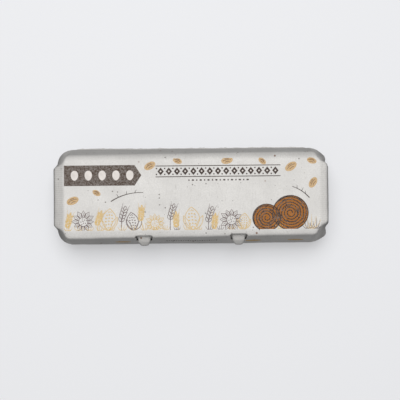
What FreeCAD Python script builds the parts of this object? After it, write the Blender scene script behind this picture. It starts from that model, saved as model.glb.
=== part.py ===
"""Moulded-pulp egg carton: a tray of cells with its locking flap, and the hinged lid.

Frame: +X along the carton, +Y towards the hinge, +Z up, origin on the table under the middle of the tray.
Every length is in millimetres, and every size that can be set by itself is a cell of the sheet "Sizes".
"""

import math
import os

import FreeCAD
import Part
import PartDesign  # noqa: F401, its types are made by name
import Sketcher

SIZES = (
    ("columns", 6, "cells along the carton"),
    ("rows", 2, "cells across the carton"),
    ("column_pitch", 47.5, "from cell to cell along the carton"),
    ("row_pitch", 46, "from cell to cell across the carton"),
    ("pulp_wall", 1.8, "thickness of the pulp everywhere"),
    ("tray_height", 38, "table to the rim on which the lid closes"),
    ("lid_height", 32, "rim to the top of the lid's panel"),
    ("tub_depth", 11, "rim down to the web between the cells"),
    ("tub_flare", 1.6, "how far the tub's wall leans out on its way up to the rim"),
    ("web_ledge", 1.9, "flat of the web between a cell's mouth and the tub's wall"),
    ("mouth_length", 39.6, "inside of a cell at the web, along the carton"),
    ("mouth_width", 38.6, "inside of a cell at the web, across the carton"),
    ("mouth_corner", 11.5, "how far a cell's slanting corner cuts back each side of its mouth"),
    ("knee_height", 9.5, "height at which a cell's wall turns in to its floor"),
    ("knee_inset", 3.6, "how far a cell draws in from its mouth down to its knee"),
    ("floor_inset", 5, "how far a cell draws in again from its knee to its floor"),
    ("ridge_round", 1.5, "bevelled edge along the mouth of every cell"),
    ("tub_corner", 14, "corner of the tub in plan, at the web"),
    ("end_flange", 2.5, "rim outside the tub at the shoulders of each end"),
    ("side_flange", 5.7, "rim outside the tub along its front and back"),
    ("rim_corner", 16, "corner of the rim in plan"),
    ("bay_depth", 4.4, "how far the bay in the middle of each end stands out"),
    ("bay_half_width", 30.5, "half the width of a bay"),
    ("post_height", 18, "how far the middle posts stand above the rim"),
    ("post_base", 9.2, "half the width of a middle post at the web"),
    ("post_top", 5.4, "half the width of a middle post below its bevelled top"),
    ("post_bevel", 2.2, "bevel around a middle post's top"),
    ("flute_base", 7.6, "half the width of the flute between two cells at the web"),
    ("flute_top", 3, "half the width of a flute at its top"),
    ("flute_drop", 4.5, "rim down to the top of a flute"),
    ("flute_offset", 2.5, "middle of a flute outside the tub's wall"),
    ("panel_end_inset", 5.7, "how far the lid's end wall leans in between the rim and the panel"),
    ("panel_side_inset", 8, "how far the lid's side wall leans in between the rim and the panel"),
    ("notch_radius", 11.5, "scooped corner of the lid's panel"),
    ("cusp_radius", 5, "rounding where a scooped corner meets the panel's straight sides"),
    ("panel_edge", 3.6, "rounding along the panel's edge"),
    ("latch_spacing", 100, "between the two buttons"),
    ("slot_top_width", 18.3, "width of a latch slot at the level of the panel"),
    ("slot_foot_width", 15, "width of a latch slot at its lower edge"),
    ("slot_sill", 12.6, "lid wall left below a latch slot"),
    ("slot_bite", 1.8, "how far a latch slot cuts into the panel's front edge"),
    ("flap_clearance", 1.2, "gap between the locking flap and the lid's wall"),
    ("flap_length", 250, "locking flap along the carton"),
    ("flap_rise", 27.6, "locking flap from its fold to its top edge, along its slope"),
    ("flap_corner", 13, "rounded upper corners of the locking flap"),
    ("button_clearance", 0.6, "gap between a button's foot and the slot around it"),
    ("button_height", 13, "height of a button where it leaves the flap"),
    ("button_reach", 8.1, "how far a button stands out of the flap"),
    ("button_hook", 1.6, "how far a button's tip hangs below its foot"),
    ("belly_reach", 5.2, "how far out of the flap a button's sides bend in"),
    ("belly_width", 12.2, "width of a button where its sides bend in"),
    ("belly_height", 9.4, "height of a button where its sides bend in"),
    ("tip_width", 7.2, "width of a button's tip"),
    ("tip_height", 4.4, "height of a button's tip"),
    ("button_corner", 2.1, "rounded corners of a button"),
)

doc = FreeCAD.newDocument("egg_carton")
sheet = doc.addObject("Spreadsheet::Sheet", "Sizes")
for row, (name, size, meaning) in enumerate(SIZES, start=1):
    sheet.set(f"A{row}", name)
    sheet.set(f"B{row}", str(size))
    sheet.setAlias(f"B{row}", name)
    sheet.set(f"C{row}", meaning)
doc.recompute()

# Places that several pieces share, as expressions over the sheet.
WALL = "Sizes.pulp_wall"
RIM_LEVEL = "Sizes.tray_height"
WEB_LEVEL = "(Sizes.tray_height - Sizes.tub_depth)"
PANEL_LEVEL = "(Sizes.tray_height + Sizes.lid_height)"
FIRST_COLUMN = "((Sizes.columns - 1) / 2 * Sizes.column_pitch)"
FIRST_ROW = "((Sizes.rows - 1) / 2 * Sizes.row_pitch)"
FIRST_GAP = "((Sizes.columns - 2) / 2 * Sizes.column_pitch)"
WEB_HALF_LENGTH = f"({FIRST_COLUMN} + Sizes.mouth_length / 2 + Sizes.web_ledge)"
WEB_HALF_WIDTH = f"({FIRST_ROW} + Sizes.mouth_width / 2 + Sizes.web_ledge)"
TUB_HALF_LENGTH = f"({WEB_HALF_LENGTH} + Sizes.tub_flare)"
TUB_HALF_WIDTH = f"({WEB_HALF_WIDTH} + Sizes.tub_flare)"
SHOULDER = f"({TUB_HALF_LENGTH} + Sizes.end_flange)"
RIM_HALF_LENGTH = f"({SHOULDER} + Sizes.bay_depth)"
RIM_HALF_WIDTH = f"({TUB_HALF_WIDTH} + Sizes.side_flange)"
PANEL_HALF_LENGTH = f"({RIM_HALF_LENGTH} - Sizes.panel_end_inset)"
PANEL_HALF_WIDTH = f"({RIM_HALF_WIDTH} - Sizes.panel_side_inset)"
LID_LEAN = "atan(Sizes.panel_side_inset / Sizes.lid_height)"
LID_WALL = f"({WALL} / cos({LID_LEAN}))"
FOLD_LINE = f"({RIM_HALF_WIDTH} - {LID_WALL} - Sizes.flap_clearance / cos({LID_LEAN}))"


def value_of(expression):
    """The number that an expression over the sheet comes to now."""
    found = sheet.evalExpression(str(expression))
    return float(getattr(found, "Value", found))


def origin_part(body, role):
    """One of a body's own origin planes or axes, such as XY_Plane or X_Axis."""
    return next(feature for feature in body.Origin.OriginFeatures if feature.Role == role)


def new_sketch(body, name, height="0", role="XY_Plane"):
    """A sketch on one of the body's origin planes, moved along that plane's normal."""
    sketch = body.newObject("Sketcher::SketchObject", name)
    sketch.AttachmentSupport = [(origin_part(body, role), "")]
    sketch.MapMode = "FlatFace"
    sketch.setExpression("AttachmentOffset.Base.z", height)
    return sketch


def line(sketch, start, end):
    """A straight edge, as (geometry, its start point, its end point)."""
    segment = Part.LineSegment(FreeCAD.Vector(*start, 0), FreeCAD.Vector(*end, 0))
    return sketch.addGeometry(segment, False), 1, 2


def arc(sketch, centre, radius, first, last, clockwise=False):
    """A round edge between two angles in degrees; a clockwise one is passed from its end to its start."""
    circle = Part.Circle(FreeCAD.Vector(*centre, 0), FreeCAD.Vector(0, 0, 1), radius)
    piece = sketch.addGeometry(Part.ArcOfCircle(circle, math.radians(first), math.radians(last)), False)
    return (piece, 2, 1) if clockwise else (piece, 1, 2)


def fix(sketch, kind, *where):
    """A constraint that has no size of its own."""
    sketch.addConstraint(Sketcher.Constraint(kind, *where))


def size(sketch, name, expression, kind, *where):
    """A constraint whose size follows an expression over the sheet."""
    number = value_of(expression)
    number = math.radians(number) if kind == "Angle" else number
    index = sketch.addConstraint(Sketcher.Constraint(kind, *where, number))
    sketch.renameConstraint(index, name)
    sketch.setExpression(f"Constraints.{name}", expression)


def place(sketch, name, geometry, point, axis, expression, side=1):
    """Keep one coordinate of a point at an expression's distance from the sketch's origin, on one side of it."""
    here = (geometry, point)
    origin = (-1, 1)
    ends = (*origin, *here) if side > 0 else (*here, *origin)
    size(sketch, name, expression, f"Distance{axis}", *ends)


def join(sketch, edges, kind):
    """Tie each edge's end to the start of the next one, all round."""
    for edge, after in zip(edges, edges[1:] + edges[:1]):
        fix(sketch, kind, edge[0], edge[2], after[0], after[1])


# The four corners of an outline, passed counter-clockwise from the lower right one: (quarter turns, side X, side Y).
CORNERS = ((0, 1, -1), (1, 1, 1), (2, -1, 1), (3, -1, -1))


def turned(x, y, quarters):
    """A point turned about the origin by quarter turns."""
    for _ in range(quarters):
        x, y = -y, x
    return x, y


def rounded_rectangle(sketch, half_length, half_width, radius, middle_x="0", middle_y="0"):
    """Four lines and four tangent corners, about a middle that may lie off the origin."""
    along = value_of(half_length)
    across = value_of(half_width)
    corner = value_of(radius)
    shift = (value_of(middle_x), value_of(middle_y))
    edges = []
    arcs = []
    sides = []
    for quarters, side_x, side_y in CORNERS:
        centre = (side_x * (along - corner) + shift[0], side_y * (across - corner) + shift[1])
        bend = arc(sketch, centre, corner, 270 + 90 * quarters, 360 + 90 * quarters)
        arcs.append(bend)
        edges.append(bend)
        out = turned(corner, 0, quarters)
        start = (centre[0] + out[0], centre[1] + out[1])
        run = 2 * (along - corner) if quarters % 2 else 2 * (across - corner)
        step = turned(0, run, quarters)
        side = line(sketch, start, (start[0] + step[0], start[1] + step[1]))
        sides.append(side)
        edges.append(side)
    join(sketch, edges, "Tangent")
    for index, direction in enumerate(("Vertical", "Horizontal", "Vertical", "Horizontal")):
        fix(sketch, direction, sides[index][0])
    place(sketch, "right", sides[0][0], 1, "X", f"{half_length} + {middle_x}")
    place(sketch, "back", sides[1][0], 1, "Y", f"{half_width} + {middle_y}")
    size(sketch, "length", f"2 * {half_length}", "DistanceX", sides[2][0], 1, sides[0][0], 1)
    size(sketch, "width", f"2 * {half_width}", "DistanceY", sides[3][0], 1, sides[1][0], 1)
    size(sketch, "corner", radius, "Radius", arcs[0][0])
    for bend in arcs[1:]:
        fix(sketch, "Equal", arcs[0][0], bend[0])


def eight_sided(sketch, half_length, half_width, corner, middle_x="0", middle_y="0"):
    """A rectangle with slanting corners, about a middle that may lie off the origin."""
    along = value_of(half_length)
    across = value_of(half_width)
    cut = value_of(corner)
    shift_x = value_of(middle_x)
    shift_y = value_of(middle_y)
    points = []
    for quarters, side_x, side_y in CORNERS:
        pair = [
            (side_x * (along - cut) + shift_x, side_y * across + shift_y),
            (side_x * along + shift_x, side_y * (across - cut) + shift_y),
        ]
        points += reversed(pair) if quarters % 2 else pair
    edges = [line(sketch, start, end) for start, end in zip(points, points[1:] + points[:1])]
    join(sketch, edges, "Coincident")
    right, back, left, front = (edges[number][0] for number in (1, 3, 5, 7))
    fix(sketch, "Vertical", right)
    fix(sketch, "Horizontal", back)
    fix(sketch, "Vertical", left)
    fix(sketch, "Horizontal", front)
    place(sketch, "right", right, 1, "X", f"{half_length} + {middle_x}")
    place(sketch, "back", back, 1, "Y", f"{half_width} + {middle_y}")
    size(sketch, "length", f"2 * {half_length}", "DistanceX", left, 1, right, 1)
    size(sketch, "width", f"2 * {half_width}", "DistanceY", front, 1, back, 1)
    size(sketch, "cut_1", corner, "DistanceY", right, 2, back, 1)
    size(sketch, "cut_2", corner, "DistanceX", back, 1, right, 2)
    size(sketch, "cut_3", corner, "DistanceX", left, 1, back, 2)
    size(sketch, "cut_4", corner, "DistanceY", left, 1, back, 2)
    size(sketch, "cut_5", corner, "DistanceY", front, 1, left, 2)
    size(sketch, "cut_6", corner, "DistanceX", left, 2, front, 1)
    size(sketch, "cut_7", corner, "DistanceX", front, 2, right, 1)
    size(sketch, "cut_8", corner, "DistanceY", front, 2, right, 1)


# What a slanting corner's cut gains for each millimetre that the outline around it grows, and what a bay loses on
# each side for each millimetre that the rim shrinks.
CORNER_GAIN = "(2 - sqrt(2))"
BAY_LOSS = "tan(22.5)"


def rim_outline(sketch, inset):
    """The rim: round corners, and in the middle of each end a bay between two slanting edges."""
    across = f"({RIM_HALF_WIDTH} - {inset})"
    shoulder = f"({SHOULDER} - {inset})"
    end = f"({RIM_HALF_LENGTH} - {inset})"
    bay = f"(Sizes.bay_half_width - {inset} * {BAY_LOSS})"
    radius = f"(Sizes.rim_corner - {inset})"
    straight = f"({SHOULDER} - Sizes.rim_corner - Sizes.cusp_radius)"
    corner = value_of(radius)
    edges = []
    arcs = []
    ends = []
    sides = []
    for quarters, side_x, side_y in CORNERS:
        centre_x = side_x * (value_of(shoulder) - corner)
        centre_y = side_y * (value_of(across) - corner)
        bend = arc(sketch, (centre_x, centre_y), corner, 270 + 90 * quarters, 360 + 90 * quarters)
        edge_y = side_y * value_of(across)
        lead = ((side_x * value_of(straight), edge_y), (centre_x, edge_y))
        slant = ((side_x * value_of(shoulder), centre_y), (side_x * value_of(end), side_y * value_of(bay)))
        arcs.append((bend, side_x, side_y))
        if quarters % 2:
            edges += [line(sketch, slant[1], slant[0]), bend, line(sketch, lead[1], lead[0])]
            far = (-lead[0][0], lead[0][1])
            sides.append((line(sketch, lead[0], far), side_y))
            edges.append(sides[-1][0])
        else:
            edges += [line(sketch, *lead), bend, line(sketch, *slant)]
            far = (slant[1][0], -slant[1][1])
            ends.append((line(sketch, slant[1], far), side_x))
            edges.append(ends[-1][0])
    join(sketch, edges, "Coincident")
    for number, (bend, side_x, side_y) in enumerate(arcs):
        odd = number % 2
        place(sketch, f"corner_x{number}", bend[0], 3, "X", f"{shoulder} - {radius}", side_x)
        place(sketch, f"corner_y{number}", bend[0], 3, "Y", f"{across} - {radius}", side_y)
        fix(sketch, "Vertical", bend[0], 3, bend[0], 2 if odd else 1)
        fix(sketch, "Horizontal", bend[0], 3, bend[0], 1 if odd else 2)
        if number:
            fix(sketch, "Equal", arcs[0][0][0], bend[0])
    size(sketch, "corner", radius, "Radius", arcs[0][0][0])
    for number, (side, side_y) in enumerate(sides):
        fix(sketch, "Horizontal", side[0])
        place(sketch, f"side_{number}", side[0], 1, "Y", across, side_y)
        place(sketch, f"side_start_{number}", side[0], 1, "X", straight, side_y)
        place(sketch, f"side_end_{number}", side[0], 2, "X", straight, -side_y)
    for number, (side, side_x) in enumerate(ends):
        fix(sketch, "Vertical", side[0])
        place(sketch, f"end_{number}", side[0], 1, "X", end, side_x)
        place(sketch, f"end_start_{number}", side[0], 1, "Y", bay, -side_x)
        place(sketch, f"end_end_{number}", side[0], 2, "Y", bay, side_x)


def panel_outline(sketch, inset):
    """The lid's panel: a rectangle whose corners are scooped out, each scoop between two small cusps."""
    along = f"({PANEL_HALF_LENGTH} - {inset})"
    across = f"({PANEL_HALF_WIDTH} - {inset})"
    notch = f"(Sizes.notch_radius + {inset})"
    cusp = f"(Sizes.cusp_radius - {inset})"
    scoop = value_of(notch)
    bead = value_of(cusp)
    drop = value_of("Sizes.cusp_radius")
    reach = math.sqrt((scoop + bead) ** 2 - drop ** 2)
    lean = math.degrees(math.atan2(drop, reach))
    edges = []
    scoops = []
    beads = []
    sides = []
    for quarters, side_x, side_y in CORNERS:
        corner = (side_x * value_of(PANEL_HALF_LENGTH), side_y * value_of(PANEL_HALF_WIDTH))
        turn = 90 * quarters
        first = turned(-reach, drop, quarters)
        second = turned(-drop, reach, quarters)
        lead = arc(sketch, (corner[0] + first[0], corner[1] + first[1]), bead, turn + 270, turn + 360 - lean)
        scooped = arc(sketch, corner, scoop, turn + 90 + lean, turn + 180 - lean, clockwise=True)
        trail = arc(sketch, (corner[0] + second[0], corner[1] + second[1]), bead, turn + 270 + lean, turn + 360)
        foot = turned(bead - drop, reach, quarters)
        start = (corner[0] + foot[0], corner[1] + foot[1])
        run = 2 * (value_of(PANEL_HALF_LENGTH if quarters % 2 else PANEL_HALF_WIDTH) - reach)
        step = turned(0, run, quarters)
        side = line(sketch, start, (start[0] + step[0], start[1] + step[1]))
        edges += [lead, scooped, trail, side]
        beads += [lead, trail]
        scoops.append((scooped, side_x, side_y))
        sides.append(side)
    join(sketch, edges, "Tangent")
    for index, direction in enumerate(("Vertical", "Horizontal", "Vertical", "Horizontal")):
        fix(sketch, direction, sides[index][0])
    place(sketch, "right", sides[0][0], 1, "X", along)
    place(sketch, "back", sides[1][0], 1, "Y", across)
    place(sketch, "left", sides[2][0], 1, "X", along, -1)
    place(sketch, "front", sides[3][0], 1, "Y", across, -1)
    for number, (scooped, side_x, side_y) in enumerate(scoops):
        place(sketch, f"scoop_x{number}", scooped[0], 3, "X", PANEL_HALF_LENGTH, side_x)
        place(sketch, f"scoop_y{number}", scooped[0], 3, "Y", PANEL_HALF_WIDTH, side_y)
        if number:
            fix(sketch, "Equal", scoops[0][0][0], scooped[0])
    size(sketch, "scoop", notch, "Radius", scoops[0][0][0])
    for bead_edge in beads[1:]:
        fix(sketch, "Equal", beads[0][0], bead_edge[0])
    size(sketch, "cusp", cusp, "Radius", beads[0][0])


def loft(body, name, sketches, subtractive=False):
    """A straight-sided solid through two or more outlines, added to the body or taken from it."""
    kind = "PartDesign::SubtractiveLoft" if subtractive else "PartDesign::AdditiveLoft"
    feature = body.newObject(kind, name)
    feature.Profile = sketches[0]
    feature.Sections = sketches[1:]
    feature.Ruled = True
    body.Tip = feature
    for sketch in sketches:
        sketch.Visibility = False
    return feature


def repeat(body, name, originals, runs):
    """A row or grid of copies; each run is (axis, length, number of copies)."""
    pattern = body.newObject("PartDesign::LinearPattern", name)
    if originals:
        pattern.Originals = originals
    else:
        pattern.TransformMode = "Whole shape"
        pattern.BaseFeature = body.Tip
    for suffix, (axis, length, copies) in zip(("", "2"), runs):
        setattr(pattern, f"Direction{suffix}", (origin_part(body, axis), [""]))
        pattern.setExpression(f"Length{suffix}", length)
        pattern.setExpression(f"Occurrences{suffix}", copies)
    body.Tip = pattern
    return pattern


CELL_GRID = (
    ("X_Axis", f"2 * {FIRST_COLUMN}", "Sizes.columns"),
    ("Y_Axis", f"2 * {FIRST_ROW}", "Sizes.rows"),
)


def flat_sided(name, outlines, runs):
    """A body of copies of one straight-sided solid, whose faces are true planes, through two or more outlines."""
    solid = doc.addObject("Part::Loft", name)
    solid.Sections = outlines
    solid.Solid = True
    solid.Ruled = True
    solid.Linearize = True
    body = doc.addObject("PartDesign::Body", f"{name}s")
    body.BaseFeature = solid
    repeat(body, f"{name}_grid", [], runs)
    return body


def cells(name, wall, foot, knee, bevel):
    """The body of all cells, grown by a wall: flat-sided, with a floor, a knee and a mouth with a bevelled edge."""
    steps = [
        ("floor", foot, "(Sizes.knee_inset + Sizes.floor_inset)"),
        ("knee", knee, "Sizes.knee_inset"),
        ("mouth", f"{WEB_LEVEL} - {bevel}", "0"),
    ]
    if bevel != "0":
        steps.append(("ridge", WEB_LEVEL, f"(0 - {bevel})"))
    outlines = []
    for step, height, inset in steps:
        outline = doc.addObject("Sketcher::SketchObject", f"{name}_{step}")
        outline.setExpression("Placement.Base.z", height)
        half_length = f"(Sizes.mouth_length / 2 - {inset} + {wall})"
        half_width = f"(Sizes.mouth_width / 2 - {inset} + {wall})"
        corner = f"(Sizes.mouth_corner + ({wall} - {inset}) * {CORNER_GAIN})"
        eight_sided(outline, half_length, half_width, corner, f"-{FIRST_COLUMN}", f"-{FIRST_ROW}")
        outlines.append(outline)
    return flat_sided(name, outlines, CELL_GRID)


def flutes(body, name, grow):
    """The upright flutes in the tub's wall, one between every two cells, grown by a wall inside the tub."""
    low = f"({WEB_LEVEL} - {WALL})"
    high = f"({RIM_LEVEL} - Sizes.flute_drop + {grow})"
    side = f"({WEB_HALF_WIDTH} + {WALL} + Sizes.flute_offset)"
    end = f"({WEB_HALF_LENGTH} + {WALL} + Sizes.flute_offset)"
    side_runs = (("X_Axis", f"2 * {FIRST_GAP}", "Sizes.columns - 1"), ("Y_Axis", f"2 * {side}", "2"))
    end_runs = (("X_Axis", f"2 * {end}", "2"),)
    places = (("side", f"-{FIRST_GAP}", f"-{side}", side_runs), ("end", f"-{end}", "0", end_runs))
    for where, middle_x, middle_y, runs in places:
        outlines = []
        for step, height, half in (("foot", low, "Sizes.flute_base"), ("top", high, "Sizes.flute_top")):
            outline = new_sketch(body, f"{name}_{where}_{step}", height)
            width = f"({half} + {grow})"
            eight_sided(outline, width, width, f"({width} * {CORNER_GAIN})", middle_x, middle_y)
            outlines.append(outline)
        flute = loft(body, f"{name}_{where}", outlines, subtractive=True)
        repeat(body, f"{name}_{where}s", [flute], runs)


def tray_outside():
    """The form whose surface is the tray's outside: the feet of the cells, the tub and its rim."""
    body = cells("cell_outside", WALL, "0", f"Sizes.knee_height - {WALL} / 2", "0")
    base = new_sketch(body, "tub_outside_base", f"{WEB_LEVEL} - {WALL}")
    top = new_sketch(body, "tub_outside_top", RIM_LEVEL)
    corner = f"(Sizes.tub_corner + {WALL})"
    rounded_rectangle(base, f"({WEB_HALF_LENGTH} + {WALL})", f"({WEB_HALF_WIDTH} + {WALL})", corner)
    corner = f"(Sizes.tub_corner + Sizes.tub_flare + {WALL})"
    rounded_rectangle(top, f"({TUB_HALF_LENGTH} + {WALL})", f"({TUB_HALF_WIDTH} + {WALL})", corner)
    loft(body, "tub_outside", [base, top])
    flutes(body, "flute_outside", "0")
    rim = new_sketch(body, "rim_outline", RIM_LEVEL)
    rim_outline(rim, "0")
    flange = body.newObject("PartDesign::Pad", "rim")
    flange.Profile = rim
    flange.Reversed = True
    flange.setExpression("Length", WALL)
    body.Tip = flange
    return body


def tray_inside():
    """The form whose surface is the tray's inside: the hollow of the tub and of the cells."""
    body = cells("cell_inside", "0", WALL, "Sizes.knee_height", "Sizes.ridge_round")
    base = new_sketch(body, "tub_inside_base", WEB_LEVEL)
    top = new_sketch(body, "tub_inside_top", RIM_LEVEL)
    rounded_rectangle(base, WEB_HALF_LENGTH, WEB_HALF_WIDTH, "Sizes.tub_corner")
    rounded_rectangle(top, TUB_HALF_LENGTH, TUB_HALF_WIDTH, "(Sizes.tub_corner + Sizes.tub_flare)")
    loft(body, "tub_inside", [base, top])
    flutes(body, "flute_inside", WALL)
    return body


def posts(name, shrink, low):
    """The middle posts, one between every four cells: an eight-sided spire with a bevelled top."""
    high = f"({RIM_LEVEL} + Sizes.post_height - {shrink})"
    steps = (
        ("foot", low, "Sizes.post_base"),
        ("shoulder", f"{high} - Sizes.post_bevel", "Sizes.post_top"),
        ("top", high, "(Sizes.post_top - Sizes.post_bevel)"),
    )
    outlines = []
    for step, height, half in steps:
        outline = doc.addObject("Sketcher::SketchObject", f"{name}_{step}")
        outline.setExpression("Placement.Base.z", height)
        width = f"({half} - {shrink})"
        eight_sided(outline, width, width, f"({width} * {CORNER_GAIN})", f"-{FIRST_GAP}")
        outlines.append(outline)
    return flat_sided(name, outlines, (("X_Axis", f"2 * {FIRST_GAP}", "Sizes.columns - 1"),))


def button(body, name, sections, radius, subtractive=False):
    """A button or its hollow, as a loft between outlines (reach out of the flap, width, height, lower edge)."""
    outlines = []
    for number, (reach, width, height, low) in enumerate(sections):
        outline = new_sketch(body, f"{name}_{number}", reach, "XZ_Plane")
        middle = f"{low} + {height} / 2"
        rounded_rectangle(outline, f"({width} / 2)", f"({height} / 2)", radius, "-Sizes.latch_spacing / 2", middle)
        outlines.append(outline)
    return loft(body, name, outlines, subtractive)


def locking_flap():
    """The flap folded up from the tray's front rim, with the two hollow buttons that hold the lid.

    It is drawn upright, with its outer face on the XZ plane and its fold on the X axis, and leans with the lid.
    """
    body = doc.addObject("PartDesign::Body", "locking_flap")
    plate = new_sketch(body, "flap_outline", "0", "XZ_Plane")
    half = "(Sizes.flap_length / 2)"
    top = "Sizes.flap_rise"
    corner = value_of("Sizes.flap_corner")
    x_end = value_of(half)
    y_top = value_of(top)
    y_low = -value_of(WALL)
    edges = [
        line(plate, (-x_end, y_low), (x_end, y_low)),
        line(plate, (x_end, y_low), (x_end, y_top - corner)),
        arc(plate, (x_end - corner, y_top - corner), corner, 0, 90),
        line(plate, (x_end - corner, y_top), (corner - x_end, y_top)),
        arc(plate, (corner - x_end, y_top - corner), corner, 90, 180),
        line(plate, (-x_end, y_top - corner), (-x_end, y_low)),
    ]
    for index, kind in enumerate(("Coincident", "Tangent", "Tangent", "Tangent", "Tangent", "Coincident")):
        edge = edges[index]
        after = edges[(index + 1) % len(edges)]
        fix(plate, kind, edge[0], edge[2], after[0], after[1])
    fix(plate, "Horizontal", edges[0][0])
    fix(plate, "Vertical", edges[1][0])
    fix(plate, "Horizontal", edges[3][0])
    fix(plate, "Vertical", edges[5][0])
    fix(plate, "Equal", edges[2][0], edges[4][0])
    place(plate, "right", edges[0][0], 2, "X", half)
    place(plate, "left", edges[0][0], 1, "X", half, -1)
    place(plate, "foot", edges[0][0], 1, "Y", WALL, -1)
    place(plate, "top", edges[3][0], 1, "Y", top)
    size(plate, "corner", "Sizes.flap_corner", "Radius", edges[2][0])
    pad = body.newObject("PartDesign::Pad", "flap")
    pad.Profile = plate
    pad.Reversed = True
    pad.setExpression("Length", WALL)
    body.Tip = pad
    width = "(Sizes.slot_foot_width - 2 * Sizes.button_clearance)"
    low = f"(Sizes.slot_sill + Sizes.button_clearance) / cos({LID_LEAN})"
    belly_low = f"{low} - Sizes.button_hook * Sizes.belly_reach / Sizes.button_reach"
    tip_low = f"{low} - Sizes.button_hook"
    outside = (
        ("0", width, "Sizes.button_height", low),
        ("Sizes.belly_reach", "Sizes.belly_width", "Sizes.belly_height", belly_low),
        ("Sizes.button_reach", "Sizes.tip_width", "Sizes.tip_height", tip_low),
    )
    hollow = (
        (f"0 - {WALL}", f"({width} - 2 * {WALL})", f"(Sizes.button_height - 2 * {WALL})", f"{low} + {WALL}"),
        (
            f"Sizes.button_reach - 1.5 * {WALL}",
            f"(Sizes.tip_width - {WALL} / 2)",
            "Sizes.tip_height",
            f"{tip_low} + {WALL}",
        ),
    )
    parts = [
        button(body, "button", outside, "Sizes.button_corner"),
        button(body, "button_hollow", hollow, f"(Sizes.button_corner - {WALL} / 2)", subtractive=True),
    ]
    repeat(body, "buttons", parts, (("X_Axis", "Sizes.latch_spacing", "2"),))
    body.setExpression("Placement.Base.y", f"-{FOLD_LINE}")
    body.setExpression("Placement.Base.z", RIM_LEVEL)
    body.Placement.Rotation = FreeCAD.Rotation(FreeCAD.Vector(-1, 0, 0), 1)
    body.setExpression("Placement.Rotation.Angle", LID_LEAN)
    return body


def latch_slots(body):
    """The two slots for the buttons: they cut the lid's front wall and bite into the edge of its panel."""
    slot = new_sketch(body, "slot_outline", f"{PANEL_HALF_WIDTH} - Sizes.slot_bite", "XZ_Plane")
    low = f"({RIM_LEVEL} + Sizes.slot_sill)"
    middle = "Sizes.latch_spacing / 2"
    foot = "Sizes.slot_foot_width"
    top = "Sizes.slot_top_width"
    points = ((foot, low, -1), (foot, low, 1), (top, PANEL_LEVEL, 1), (top, PANEL_LEVEL, -1))
    places = [(-value_of(middle) + side * value_of(width) / 2, value_of(level)) for width, level, side in points]
    edges = [line(slot, start, end) for start, end in zip(places, places[1:] + places[:1])]
    join(slot, edges, "Coincident")
    for number, (width, level, side) in enumerate(points):
        place(slot, f"x{number}", edges[number][0], 1, "X", f"{middle} - {side} * {width} / 2", -1)
        place(slot, f"y{number}", edges[number][0], 1, "Y", level)
    cut = body.newObject("PartDesign::Pocket", "latch_slot")
    cut.Profile = slot
    cut.Reversed = True
    cut.setExpression("Length", "Sizes.panel_side_inset + Sizes.slot_bite")
    body.Tip = cut
    repeat(body, "latch_slots", [cut], (("X_Axis", "Sizes.latch_spacing", "2"),))


# Straight strips that stand for the rounding along the edge of the lid's panel.
PANEL_STEPS = 2


def lid_skin(body, name, grow, rim_inset, subtractive):
    """The lid's outside or inside: a straight wall from the rim, then a rounding in strips up to the panel."""
    tangent = f"(Sizes.panel_edge * tan((90 deg - {LID_LEAN}) / 2))"
    rounding = f"(Sizes.panel_edge - {grow})"
    outlines = [new_sketch(body, f"{name}_rim", RIM_LEVEL)]
    rim_outline(outlines[0], rim_inset)
    for number in range(PANEL_STEPS + 1):
        bend = f"((90 deg - {LID_LEAN}) * {PANEL_STEPS - number} / {PANEL_STEPS})"
        height = f"{PANEL_LEVEL} - Sizes.panel_edge + {rounding} * cos({bend})"
        outline = new_sketch(body, f"{name}_panel{number}", height)
        panel_outline(outline, f"({tangent} - {rounding} * sin({bend}))")
        outlines.append(outline)
    loft(body, name, outlines, subtractive)


def lid():
    """The lid: leaning walls between the rim and a panel with scooped corners, two latch slots in front."""
    body = doc.addObject("PartDesign::Body", "lid")
    lid_skin(body, "lid_outside", "0", "0", False)
    lid_skin(body, "lid_inside", WALL, LID_WALL, True)
    latch_slots(body)
    return body


def combine(kind, name, base, tool):
    """A Part boolean of two finished objects."""
    result = doc.addObject(f"Part::{kind}", name)
    result.Base = base
    result.Tool = tool
    return result


POST_FOOT = f"({WEB_LEVEL} - {WALL} / 2)"
tray_skin = combine("Cut", "tray_skin", tray_outside(), tray_inside())
with_posts = combine("Fuse", "tray_with_posts", tray_skin, posts("post", "0", POST_FOOT))
with_flap = combine("Fuse", "tray_with_flap", with_posts, locking_flap())
tray = combine("Cut", "tray", with_flap, posts("post_hollow", WALL, f"({WEB_LEVEL} - {WALL})"))
lid_body = lid()
doc.recompute()

bad = [item.Label for item in doc.Objects if "Invalid" in item.State or "Error" in item.State]
if bad:
    raise RuntimeError(f"These did not recompute: {bad}")
os.makedirs("parts", exist_ok=True)
for piece in (tray, lid_body):
    if piece.Shape.isNull() or not piece.Shape.isValid() or len(piece.Shape.Solids) != 1:
        raise RuntimeError(f"{piece.Label} is not one valid solid")
for piece in (tray, lid_body):
    piece.Shape.exportStep(f"parts/{piece.Label}.step")
    box = piece.Shape.BoundBox
    print(piece.Label, f"{piece.Shape.Volume:.0f} mm3", f"{box.XLength:.1f} x {box.YLength:.1f} x {box.ZLength:.1f} mm")
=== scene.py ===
"""Looks of a moulded-pulp egg carton: felted pulp, the printed panel, the fold at the back, and soft studio light."""

import math
import random

import bmesh
import bpy
from mathutils import Matrix, Vector, noise
from mathutils.bvhtree import BVHTree


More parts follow.
